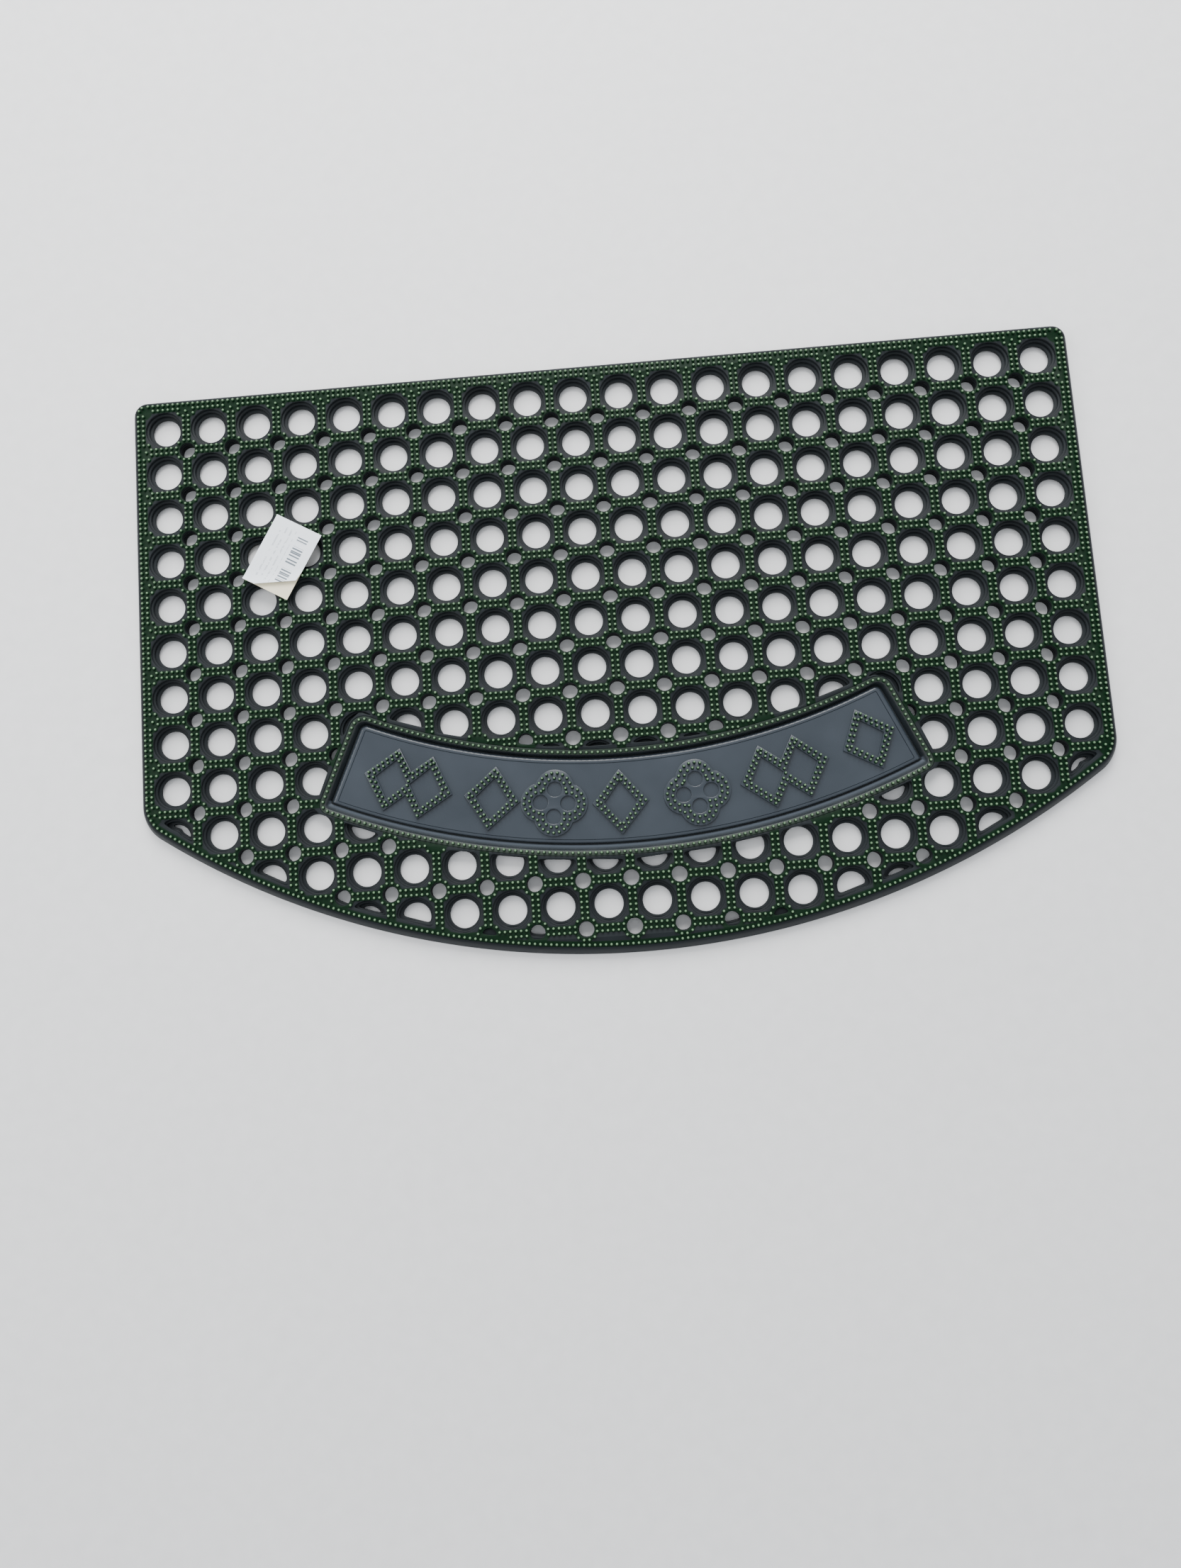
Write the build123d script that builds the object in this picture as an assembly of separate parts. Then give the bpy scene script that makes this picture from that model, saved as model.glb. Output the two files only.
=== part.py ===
from build123d import *
import math
import os

# A half-round hollow rubber door mat, lying on the floor.
# Origin: centre of the footprint on the floor. +X runs along the straight back edge,
# +Y points to the back edge (the side by the door), +Z is up. All sizes are millimetres.

# ---- overall size
width = 750.0                  # along the straight back edge, at the floor
depth = 468.0                  # back edge to the middle of the curved front edge
cell = 36.6                    # pitch of the square cells
columns = 20
rows = 12
half_width = width / 2
half_depth = depth / 2
back_line = half_depth - 9.0   # centre line of the back border
side_line = columns * cell / 2  # centre line of the side borders

# ---- outline
front_radius = 640.2           # curved front edge, at the floor
back_corner = 13.0             # corner radii at the floor
front_corner = 31.0
front_centre = front_radius - half_depth
land_inset = 5.2               # floor edge to the flat top of the border
pin_inset = 7.0                # floor edge to the outer row of pins
foot_inset = 10.0              # inner side of the border's foot

# ---- heights above the floor
foot_top = 1.8                 # the mat stands on feet, so that water runs out
ring_top = 4.8                 # top of the drain layer, which has the large round holes
ledge_top = 7.6                # step part of the way down each cup
land_top = 10.0                # flat tops of the webs
pin_top = 12.5                 # tips of the pins

# ---- cups, drain holes and crossings
cup_radius = 14.8              # round opening at the top of a cell
ledge_radius = 13.2            # opening below the step
hole_radius = 11.0             # through hole at the bottom
crossing_radius = 6.1          # straight hole where two webs cross
sleeve_radius = 8.2            # outside of the foot round a crossing hole
cup_inset = 10.0               # how near to the floor edge each of these may come
ledge_inset = 11.5
hole_inset = 13.0
banner_gap = 2.6               # and how near to the banner's pin row
least_hole = 25.0              # smaller leftovers stay closed pockets, in square millimetres
least_cup = 12.0
front_margin = 16.0            # circles nearer than this to the front edge are checked for cuts
banner_margin = 6.0            # and those nearer than this to the banner's pin row

# ---- banner: a curved tray with a raised border, near the front
banner_centre = 418.2          # centre of its arcs on the Y axis
banner_inner = 499.6           # radius of the pin row along its upper edge
banner_outer = 576.2           # radius of the pin row along its lower edge
banner_angle = 23.9            # half of the angle that it spans
banner_upper_corner = 9.0
banner_lower_corner = 5.5
cavity_edge = (-1.8, -1.8, -1.8)   # top of the recess: distances from the pin row, given as
groove_edge = (-3.4, -6.4, -4.6)   # upper edge, lower edge and ends; foot of its sloping wall
panel_edge = (-4.2, -7.6, -5.6)    # outside of the raised panel
panel_flat = (-6.4, -8.4, -8.0)    # start of its flat top
panel_side = 5.6               # height where the panel's bevel starts
panel_top = 7.4
stud_radius = 4.0              # feet under the banner: three arcs of round studs
stud_inset = 14.0              # outer and inner arcs, from the pin rows
stud_count = 10                # studs on each side of the middle one
stud_step = 2.1                # angle between studs, in degrees

# ---- pins and ornaments
pin_row = 2.0                  # each web has two rows, this far from its centre line
ridge = 1.8                    # width of the ridge that stands for a row of pins
web_reach = 7.2                # a web's rows start this far from a crossing
border_gap = 3.5               # nearest that a web's rows come to the border or banner pins
least_ridge = 4.0              # shorter leftovers of a row are left out, in square millimetres
ornament_top = 9.0             # plateaus that carry the ornament pins
ornament_band = 9.4            # width of a plateau's stroke
ornament_ridge = 5.6
ornament_radius = 538.2        # circle through the ornaments' centres
ornament_height = 50.0
lozenge_half = 17.0            # half width of a lozenge's centre line
pair_offset = 13.5             # a pair is two overlapping lozenges, this far from the middle
lobe_radius = 10.5             # a rosette is four circles of this radius, this far out

# ---- price label, a paper sticker on its backing
label_width = 40.0
label_length = 58.0
label_x = -255.2
label_y = 92.6
label_turn = -30.5
label_crease = 30.0            # direction of the lifted edge, from the label's width
label_cut = 16.5               # how far along the side the lifted edge starts
backing_thick = 0.15
paper_thick = 0.2


def keep(name, shape, colour):
    """Write one sub-part to its own file."""
    shape.label = name
    shape.color = Color(*colour)
    export_step(shape, "parts/" + name + ".step")
    print(name, "volume", round(shape.volume), "mm3")


def slab(face, bottom, top):
    """A flat layer from a face on the floor plane."""
    return extrude(Pos(0, 0, bottom) * face, top - bottom, dir=(0, 0, 1))


def outline(inset):
    """The mat's outline, moved inwards from the floor edge."""
    w = half_width - inset
    back = half_depth - inset
    radius = front_radius - inset
    side_end = front_centre - math.sqrt(radius ** 2 - w ** 2)
    edges = [
        Line((-w, back), (w, back)),
        Line((w, back), (w, side_end)),
        ThreePointArc((w, side_end), (0, front_centre - radius), (-w, side_end)),
        Line((-w, side_end), (-w, back)),
    ]
    face = make_face(edges)
    corners = face.vertices().sort_by(Axis.Y)
    face = fillet(corners[2:], max(back_corner - inset, 1.0))
    corners = [v for v in face.vertices() if abs(v.Y - side_end) < 0.01]
    return fillet(corners, max(front_corner - inset, 2.0))


def banner_point(radius, side, grow):
    """Where the banner's end line, moved outwards by grow, meets a circle."""
    angle = math.radians(banner_angle)
    along = math.sqrt(radius ** 2 - grow ** 2)
    x = along * math.sin(angle) + grow * math.cos(angle)
    y = banner_centre - along * math.cos(angle) + grow * math.sin(angle)
    return (side * x, y)


def banner(upper, lower=None, ends=None):
    """The banner's outline, moved outwards from its pin row, by one or by three distances."""
    lower = upper if lower is None else lower
    ends = upper if ends is None else ends
    inner = banner_inner - upper
    outer = banner_outer + lower
    upper_left = banner_point(inner, -1, ends)
    upper_right = banner_point(inner, 1, ends)
    lower_left = banner_point(outer, -1, ends)
    lower_right = banner_point(outer, 1, ends)
    edges = [
        ThreePointArc(upper_left, (0, banner_centre - inner), upper_right),
        Line(upper_right, lower_right),
        ThreePointArc(lower_right, (0, banner_centre - outer), lower_left),
        Line(lower_left, upper_left),
    ]
    corners = make_face(edges).vertices().sort_by(Axis.Y)
    face = fillet(corners[:2], max(banner_lower_corner + lower, 1.5))
    top_corners = [v for v in face.vertices() if abs(v.Y - upper_left[1]) < 0.01]
    return fillet(top_corners, max(banner_upper_corner + upper, 2.0))


def cell_centres():
    """Centres of all the cells of the square grid."""
    centres = []
    for column in range(columns):
        for row in range(rows):
            x = (column + 0.5) * cell - side_line
            y = back_line - (row + 0.5) * cell
            centres.append((x, y))
    return centres


def crossing_centres():
    """Places where two webs cross."""
    centres = []
    for column in range(1, columns):
        for row in range(1, rows + 1):
            centres.append((column * cell - side_line, back_line - row * cell))
    return centres


def clear_of_edges(x, y, reach):
    """True where a circle is far from the front edge and the banner."""
    front = front_radius - math.hypot(x, y - front_centre)
    from_centre = math.hypot(x, y - banner_centre)
    beyond = max(banner_inner - from_centre, from_centre - banner_outer)
    angle = math.degrees(math.atan2(abs(x), banner_centre - y))
    sideways = math.radians(angle - banner_angle) * from_centre
    return front > reach + front_margin and max(beyond, sideways) > reach + banner_margin


def openings(centres, radius, region, least):
    """Round openings, cut off by the front border and the banner."""
    faces = []
    for x, y in centres:
        circle = Pos(x, y) * Circle(radius)
        if clear_of_edges(x, y, radius):
            faces.append(circle)
            continue
        rest = circle & region
        if rest is None:
            continue
        for face in rest.faces():
            if face.area > least:
                faces.append(face)
    return faces


def crossing_openings(region):
    """Straight drain holes at the crossings."""
    return openings(crossing_centres(), crossing_radius, region, least_hole)


def skirts():
    """Sloping outer edge, in four lengths."""
    whole = loft([outline(0), Pos(0, 0, land_top) * outline(land_inset)])
    ring = whole - slab(outline(land_inset), 0, land_top)
    back_start = half_depth - back_corner
    turn = math.acos(half_width / front_radius)
    tangent = front_corner * math.tan(turn / 2)
    side_end = front_centre - math.sqrt(front_radius ** 2 - half_width ** 2) + tangent
    zones = {
        "edge_skirt_back": (0, back_start, width, 2 * back_corner),
        "edge_skirt_front": (0, side_end - depth, width, depth),
    }
    side_length = back_start - side_end
    middle = (half_width + cell) / 2
    zones["edge_skirt_left"] = (-middle, side_end, half_width - cell, side_length)
    zones["edge_skirt_right"] = (middle, side_end, half_width - cell, side_length)
    pieces = {}
    for name, (x, y, wide, tall) in zones.items():
        zone = Pos(x, y + tall / 2) * Rectangle(wide + 1, tall)
        pieces[name] = (ring & slab(zone, 0, land_top), zone)
    return pieces


def layers():
    """The open lattice, as the layers that step down each cup."""
    body = outline(land_inset) - banner(banner_gap)
    crossings = crossing_openings(outline(cup_inset) - banner(banner_gap))
    spec = [
        ("web_top_lattice", ledge_top, land_top, cup_radius, cup_inset, least_cup),
        ("cup_ledge_layer", ring_top, ledge_top, ledge_radius, ledge_inset, least_cup),
        ("drain_ring_layer", foot_top, ring_top, hole_radius, hole_inset, least_hole),
    ]
    made = []
    for name, bottom, top, radius, inset, least in spec:
        region = outline(inset) - banner(banner_gap)
        cuts = openings(cell_centres(), radius, region, least) + crossings
        made.append((name, slab(body - cuts, bottom, top)))
    return made


def feet():
    """What the mat stands on: a wall under the border and a sleeve under each crossing."""
    wall = slab(outline(land_inset) - outline(foot_inset), 0, foot_top)
    ring = Circle(sleeve_radius) - Circle(crossing_radius)
    sleeves = []
    for x, y in crossing_centres():
        if clear_of_edges(x, y, sleeve_radius):
            sleeves.append(slab(Pos(x, y) * ring, 0, foot_top))
    return wall, Compound(sleeves)


def banner_feet():
    """Round studs under the banner's tray."""
    stud = Solid.make_cylinder(stud_radius, foot_top)
    middle = (banner_inner + banner_outer) / 2
    studs = []
    for radius in (banner_inner + stud_inset, middle, banner_outer - stud_inset):
        for step in range(-stud_count, stud_count + 1):
            angle = math.radians(stud_step * step)
            x = radius * math.sin(angle)
            y = banner_centre - radius * math.cos(angle)
            studs.append(Pos(x, y) * stud)
    return Compound(studs)


def banner_parts():
    """The tray's floor, its raised border with a sloping inner wall, and the smooth panel."""
    floor = slab(banner(banner_gap), foot_top, ring_top)
    foot = Pos(0, 0, ring_top) * banner(*groove_edge)
    recess = loft([foot, Pos(0, 0, land_top) * banner(*cavity_edge)])
    border = slab(banner(banner_gap), ring_top, land_top) - recess
    side = banner(*panel_edge)
    bevel = loft([Pos(0, 0, panel_side) * side, Pos(0, 0, panel_top) * banner(*panel_flat)])
    panel = slab(side, ring_top, panel_side) + bevel
    return floor, border, panel


def ornament_line(kind, grow):
    """Outline of one studded ornament, upright at the origin, moved outwards by grow."""
    tall = ornament_height / 2 - ornament_band / 2 + grow
    half = lozenge_half + grow
    if kind == "rosette":
        lobe = Circle(lobe_radius + grow)
        shape = Pos(0, lobe_radius) * lobe + Pos(lobe_radius, 0) * lobe
        return shape + Pos(0, -lobe_radius) * lobe + Pos(-lobe_radius, 0) * lobe
    one = make_face(Polyline((0, tall), (half, 0), (0, -tall), (-half, 0), close=True))
    if kind == "pair":
        return Pos(-pair_offset, 0) * one + Pos(pair_offset, 0) * one
    return one


ornaments = [
    (-17.9, "pair"),
    (-10.9, "lozenge"),
    (-5.8, "rosette"),
    (-0.4, "lozenge"),
    (5.85, "rosette"),
    (13.1, "pair"),
    (20.4, "lozenge"),
]


def ornament(kind, angle, band, bottom, top):
    """A raised stroke of the given width along an ornament's centre line."""
    face = ornament_line(kind, band / 2) - ornament_line(kind, -band / 2)
    place = Pos(0, banner_centre) * Rot(0, 0, angle) * Pos(0, -ornament_radius)
    return slab(place * face, bottom, top)


def border_ridges(zones):
    """Ridges for the border's rows of pins: one row in front, two on the other sides."""
    outer = outline(pin_inset - ridge / 2) - outline(pin_inset + ridge / 2)
    second = pin_inset + 2 * pin_row
    inner = outline(second - ridge / 2) - outline(second + ridge / 2)
    made = []
    for side in ("back", "left", "right", "front"):
        zone = zones["edge_skirt_" + side][1]
        rows_here = outer & zone
        if side != "front":
            rows_here = rows_here + (inner & zone)
        made.append(("pins_border_" + side, slab(rows_here, land_top, pin_top)))
    return made


def web_ridges():
    """Ridges for the two rows of pins on every web between two crossings."""
    length = cell - 2 * web_reach
    region = outline(pin_inset + border_gap) - banner(border_gap)
    across = []
    along = []
    for column in range(columns):
        for row in range(1, rows + 1):
            for side in (-pin_row, pin_row):
                x = (column + 0.5) * cell - side_line
                y = back_line - row * cell + side
                across.append((x, y, length, ridge))
    for column in range(1, columns):
        for row in range(rows):
            for side in (-pin_row, pin_row):
                x = column * cell - side_line + side
                y = back_line - (row + 0.5) * cell
                along.append((x, y, ridge, length))
    made = []
    for name, bars in (("pins_web_rows", across), ("pins_web_columns", along)):
        solids = []
        for x, y, wide, tall in bars:
            bar = Pos(x, y) * Rectangle(wide, tall)
            if not clear_of_edges(x, y, length / 2):
                bar = bar & region
            if bar is None or bar.area < least_ridge:
                continue
            solids.extend(slab(bar, land_top, pin_top).solids())
        made.append((name, Compound(solids)))
    return made


def label_parts():
    """The sticker: a printed paper face, one corner lifted, on its cream backing."""
    place = Pos(label_x, label_y) * Rot(0, 0, label_turn)
    sheet = Rectangle(label_width, label_length)
    backing = slab(place * sheet, pin_top, pin_top + backing_thick)
    cut = Pos(label_width / 2, -label_length / 2 + label_cut) * Rot(0, 0, label_crease)
    below = cut * Pos(0, -label_length) * Rectangle(3 * label_width, 2 * label_length)
    face = sheet - below
    bottom = pin_top + backing_thick
    return backing, slab(place * face, bottom, bottom + paper_thick)


os.makedirs("parts", exist_ok=True)

black = (0.06, 0.065, 0.07)
slate = (0.22, 0.25, 0.28)
green = (0.35, 0.45, 0.38)

skirt_pieces = skirts()
for name, (piece, zone) in skirt_pieces.items():
    keep(name, piece, black)
for name, piece in layers():
    keep(name, piece, black)
wall, sleeves = feet()
keep("border_foot_wall", wall, black)
keep("drain_foot_sleeves", sleeves, black)
keep("banner_foot_studs", banner_feet(), black)
floor, border, panel = banner_parts()
keep("banner_tray_floor", floor, black)
keep("banner_border", border, black)
keep("banner_panel", panel, slate)
for number, (angle, kind) in enumerate(ornaments, 1):
    plateau = ornament(kind, angle, ornament_band, panel_top, ornament_top)
    keep("ornament_plateau_" + str(number), plateau, slate)
    studs = ornament(kind, angle, ornament_ridge, ornament_top, pin_top)
    keep("pins_ornament_" + str(number), studs, green)
for name, piece in border_ridges(skirt_pieces) + web_ridges():
    keep(name, piece, green)
banner_row = banner(ridge / 2) - banner(-ridge / 2)
keep("pins_banner_border", slab(banner_row, land_top, pin_top), green)
backing, paper = label_parts()
keep("label_backing", backing, (0.9, 0.88, 0.8))
keep("label_paper", paper, (0.9, 0.93, 0.95))
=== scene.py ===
# %% [markdown]
# # A half-round rubber door mat
# The real mat is one moulding in two colours of rubber: a black open lattice that lets
# water and grit through, and soft green pins that scrape shoes. The frame holds every
# section of it at its true place. This lesson gives those sections their visible shapes.

# %% Load the fixed frame
import math

import bmesh
import bpy
from mathutils import Matrix, Vector


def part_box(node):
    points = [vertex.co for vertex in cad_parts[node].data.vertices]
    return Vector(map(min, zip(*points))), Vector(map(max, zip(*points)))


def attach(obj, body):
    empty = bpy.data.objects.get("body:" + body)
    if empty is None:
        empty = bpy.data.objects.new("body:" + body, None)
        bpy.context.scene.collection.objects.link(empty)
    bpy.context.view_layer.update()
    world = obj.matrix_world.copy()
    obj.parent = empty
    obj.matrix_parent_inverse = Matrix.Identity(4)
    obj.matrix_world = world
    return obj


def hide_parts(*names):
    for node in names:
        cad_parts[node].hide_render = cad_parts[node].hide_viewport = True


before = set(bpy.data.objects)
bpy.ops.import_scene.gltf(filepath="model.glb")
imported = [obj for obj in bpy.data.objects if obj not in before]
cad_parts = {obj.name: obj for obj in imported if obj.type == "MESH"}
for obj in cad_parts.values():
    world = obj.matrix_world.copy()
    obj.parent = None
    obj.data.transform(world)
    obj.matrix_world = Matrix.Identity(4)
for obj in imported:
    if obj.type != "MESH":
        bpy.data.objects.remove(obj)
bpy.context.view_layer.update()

MM = 0.001
print("frame nodes:", len(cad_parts))

# %% [markdown]
# ## Heights and outline sizes
# All shapes are worked out in millimetres and scaled to metres once, when a piece is
# finished. The heights are read from the frame, so every layer meets the one below it.

# %% Read the heights
def height_of(node, end):
    """Height in millimetres of a node's underside (0) or top (1)."""
    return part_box(node)[end].z / MM


foot_top = height_of("drain_ring_layer", 0)
ring_top = height_of("drain_ring_layer", 1)
ledge_top = height_of("cup_ledge_layer", 1)
land_top = height_of("web_top_lattice", 1)
pin_top = height_of("pins_web_rows", 1)
tray_floor_top = height_of("banner_tray_floor", 1)
panel_top = height_of("banner_panel", 1)
plateau_top = height_of("ornament_plateau_1", 1)
half_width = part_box("edge_skirt_back")[1].x / MM
back_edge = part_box("edge_skirt_back")[1].y / MM
print("layer heights:", foot_top, ring_top, ledge_top, land_top, pin_top)
print("banner heights:", tray_floor_top, panel_top, plateau_top)

# %% [markdown]
# ## The grid of cups
# The cups stand on a square grid, and a narrow border runs outside it. The grid's lines are
# counted from the back edge and from the middle of the mat, as a mould maker would.

# %% The grid
cell = 36.6
columns = 20
rows = 12
border_width = 9.0
back_line = back_edge - border_width
side_line = columns * cell / 2
print("grid from", -side_line, "to", side_line, "and forwards from", back_line)

# %% [markdown]
# ## The outline as rings of points
# The outline is five arcs joined by straight lines. A ring moved inwards keeps the centres
# of its arcs and only shrinks their radii, so two rings always have matching points and
# can be joined by extruding one into the next.

# %% Outline rings
front_radius = 640.2
front_centre = front_radius - back_edge
back_corner = 13.0
front_corner = 31.0
least_radius = 0.5
corner_steps = 8
front_corner_steps = 12
front_steps = 150
corner_x = half_width - front_corner
corner_y = front_centre - math.sqrt((front_radius - front_corner) ** 2 - corner_x ** 2)
corner_lean = math.atan2(corner_y - front_centre, corner_x)


def arc(centre_x, centre_y, radius, start, end, steps):
    """Points along an arc, both ends included."""
    points = []
    for step in range(steps + 1):
        angle = start + (end - start) * step / steps
        x = centre_x + radius * math.cos(angle)
        y = centre_y + radius * math.sin(angle)
        points.append((x, y))
    return points


def outline(inset):
    """The mat's outline, moved inwards from the floor edge."""
    x = half_width - back_corner
    y = back_edge - back_corner
    back_radius = max(back_corner - inset, least_radius)
    corner = front_corner - inset
    turn = math.pi + corner_lean
    points = arc(x, y, back_radius, 0, math.pi / 2, corner_steps)
    points += arc(-x, y, back_radius, math.pi / 2, math.pi, corner_steps)
    points += arc(-corner_x, corner_y, corner, math.pi, 2 * math.pi - turn, front_corner_steps)
    points += arc(0, front_centre, front_radius - inset, -turn, corner_lean, front_steps)[1:-1]
    points += arc(corner_x, corner_y, corner, corner_lean, 0, front_corner_steps)
    return points


print("outline points:", len(outline(0)))

# %% [markdown]
# ## The banner's rings
# The banner is a strip bent round a centre high above the mat. Its rounded corners are
# drawn in angle and radius, and each side has its own distance from the row of pins,
# because the wall of the recess slopes more on the lower side than on the upper one.

# %% Banner rings
banner_centre = 418.2
banner_inner = 499.6
banner_outer = 576.2
banner_half_angle = math.radians(23.9)
upper_corner = 9.0
lower_corner = 5.5
least_corner = 0.8
upper_steps = 60
lower_steps = 66


def polar(angle, radius):
    """A point at an angle from straight down, round the banner's centre."""
    return (radius * math.sin(angle), banner_centre - radius * math.cos(angle))


def banner(upper, lower=None, ends=None):
    """The banner's outline, moved outwards from its row of pins."""
    lower = upper if lower is None else lower
    ends = upper if ends is None else ends
    half = []
    for edge, grow, size, sign in ((banner_inner, upper, upper_corner, -1),
                                   (banner_outer, lower, lower_corner, 1)):
        corner = max(size + grow, least_corner)
        radius = edge + sign * grow - sign * corner
        angle = banner_half_angle + math.asin(ends / radius) - corner / radius
        for step in range(corner_steps + 1):
            part = step / corner_steps
            turn = math.pi / 2 * (part if sign > 0 else 1 - part)
            r = radius + sign * corner * math.sin(turn)
            half.append((angle + corner * math.cos(turn) / radius, r))
    points = []
    for step in range(1, upper_steps):
        points.append(polar(half[0][0] * (2 * step / upper_steps - 1), half[0][1]))
    points += [polar(angle, r) for angle, r in half]
    for step in range(1, lower_steps):
        points.append(polar(half[-1][0] * (1 - 2 * step / lower_steps), half[-1][1]))
    points += [polar(-angle, r) for angle, r in reversed(half)]
    return points


print("banner points:", len(banner(0)))

# %% [markdown]
# ## How far a point is from the border and the banner
# Cups and pins near the front border or the banner are cut short on the real mat. Two
# small distance rules say where: one from the floor edge, one from the banner's pin row.

# %% Distances from the edge and the banner
def from_edge(x, y):
    """Distance inwards from the floor edge."""
    straight = min(back_edge - y, half_width - abs(x))
    front = front_radius - math.hypot(x, y - front_centre)
    if abs(x) > corner_x and y < corner_y:
        front = front_corner - math.hypot(abs(x) - corner_x, y - corner_y)
    return min(straight, front)


def from_banner(x, y):
    """Distance outwards from the banner's row of pins; negative inside it."""
    radius = math.hypot(x, y - banner_centre)
    angle = math.atan2(abs(x), banner_centre - y)
    sideways = (angle - banner_half_angle) * radius
    beyond = max(banner_inner - radius, radius - banner_outer)
    if beyond > 0 and sideways > 0:
        return math.hypot(beyond, sideways)
    return max(beyond, sideways)


print("middle of the mat to the edge", from_edge(0, 0), "to the banner", from_banner(0, 0))

# %% [markdown]
# ## Moving a point clear
# A point of a round opening that comes too near is moved along the slope of the distance
# rule it breaks, in a few short steps. The slope is felt with a small probe to each side.

# %% Moving a point clear
probe = 0.05
tries = 4
near_enough = 0.01


def nudged(x, y, inset, gap):
    """A point moved in short steps until it clears the border and the banner."""
    for _ in range(tries):
        short_edge = inset - from_edge(x, y)
        short_banner = gap - from_banner(x, y)
        short = max(short_edge, short_banner)
        if short < near_enough:
            break
        measure = from_edge if short_edge > short_banner else from_banner
        slope_x = measure(x + probe, y) - measure(x - probe, y)
        slope_y = measure(x, y + probe) - measure(x, y - probe)
        steep = math.hypot(slope_x, slope_y)
        x += slope_x / steep * short
        y += slope_y / steep * short
    return (x, y)


print("back corner moved clear:", nudged(half_width, back_edge, border_width, 0.0))

# %% [markdown]
# ## Even spacing and soft corners
# An opening that is cut short keeps only part of its circle. Its points are spaced evenly
# again, so that no two lie almost on top of each other, and its corners are rounded by
# averaging neighbours. The same walk along a line also sets out rows of pins.

# %% Even spacing and soft corners
least_count = 3
rounding = 1e-6


def walk(points, spacing, closed):
    """Evenly spaced places along a line of points."""
    line = points + points[:1] if closed else points
    total = sum(math.dist(a, b) for a, b in zip(line, line[1:]))
    count = max(round(total / spacing), least_count)
    step = total / count
    places = []
    due = 0.0 if closed else step / 2
    gone = 0.0
    for a, b in zip(line, line[1:]):
        length = math.dist(a, b)
        while due < gone + length - rounding and len(places) < count:
            part = (due - gone) / length
            places.append((a[0] + (b[0] - a[0]) * part, a[1] + (b[1] - a[1]) * part))
            due += step
        gone += length
    return places


def loop_area(loop):
    """Area inside a loop of points."""
    total = 0.0
    for (ax, ay), (bx, by) in zip(loop, loop[1:] + loop[:1]):
        total += ax * by - bx * ay
    return abs(total) / 2


def softened(loop, times):
    """A loop with its corners rounded off."""
    for _ in range(times):
        around = zip(loop[-1:] + loop[:-1], loop, loop[1:] + loop[:1])
        loop = [((a[0] + 2 * b[0] + c[0]) / 4, (a[1] + 2 * b[1] + c[1]) / 4) for a, b, c in around]
    return loop


print("area inside the outline in square metres:", loop_area(outline(0)) * MM * MM)

# %% [markdown]
# ## Openings, whole or cut short
# Most openings are plain circles. One that meets the border or the banner is pushed back
# from it, and one that would leave only a sliver is left out, as the moulder does.

# %% Openings
cup_steps = 40
cut_spacing = 1.2
cut_softening = 4


def opening(centre, radius, steps, inset, gap, least):
    """A round opening, cut short where it meets the border or the banner."""
    circle = arc(centre[0], centre[1], radius, 0, 2 * math.pi, steps)[:-1]
    free = [from_edge(*point) >= inset and from_banner(*point) >= gap for point in circle]
    if all(free):
        return circle
    line = [point for point, clear in zip(circle, free) if clear]
    if len(line) < least_count:
        return None
    line = [nudged(x, y, inset, gap) for x, y in walk(line, cut_spacing, True)]
    if loop_area(line) < least:
        return None
    return softened(walk(line, cut_spacing, True), cut_softening)


print("points of a whole cup:", len(opening((0, 0), cell / 2, cup_steps, 0, 0, 0)))

# %% [markdown]
# ## Where the cups and crossings are
# A cup stands in the middle of each cell of the grid. A crossing is where two webs meet,
# and it has a small hole of its own. None is left out here: openings that have no room
# drop out when a layer is made.

# %% Centres of cups and crossings
cell_centres = []
for column in range(columns):
    for row in range(rows):
        cell_centres.append(((column + 0.5) * cell - side_line, back_line - (row + 0.5) * cell))
crossings = []
for column in range(1, columns):
    for row in range(1, rows + 1):
        crossings.append((column * cell - side_line, back_line - row * cell))
print("cells", len(cell_centres), "crossings", len(crossings))

# %% [markdown]
# ## Shader maths as expressions
# A material is a small graph of nodes. Wrapping a socket in a class that knows plus, minus
# and times lets a pattern be written as a sum in one line, which is easier to read than
# a list of nodes and links.

# %% Sockets in expressions
class Value:
    """A node's output that takes part in Python expressions."""

    def __init__(self, graph, socket):
        self.graph = graph
        self.socket = socket

    def math(self, operation, *others):
        inputs = dict(enumerate((self,) + others))
        return self.graph.node("ShaderNodeMath", {"operation": operation}, inputs)

    def __add__(self, other):
        return self.math("ADD", other)

    __radd__ = __add__

    def __mul__(self, other):
        return self.math("MULTIPLY", other)

    __rmul__ = __mul__

    def __sub__(self, other):
        return self.math("SUBTRACT", other)

    def __rsub__(self, other):
        return self.graph.node("ShaderNodeMath", {"operation": "SUBTRACT"}, {0: other, 1: self})

    def __lt__(self, other):
        return self.math("LESS_THAN", other)

    def __gt__(self, other):
        return self.math("GREATER_THAN", other)


print("ready:", Value.__doc__)

# %% [markdown]
# ## One finish, built node by node
# Every finish starts from an empty graph and gets its nodes from one method, which takes a
# node's type, its settings and what goes into its sockets. A few short names stand for the
# nodes that all the finishes share.

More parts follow.
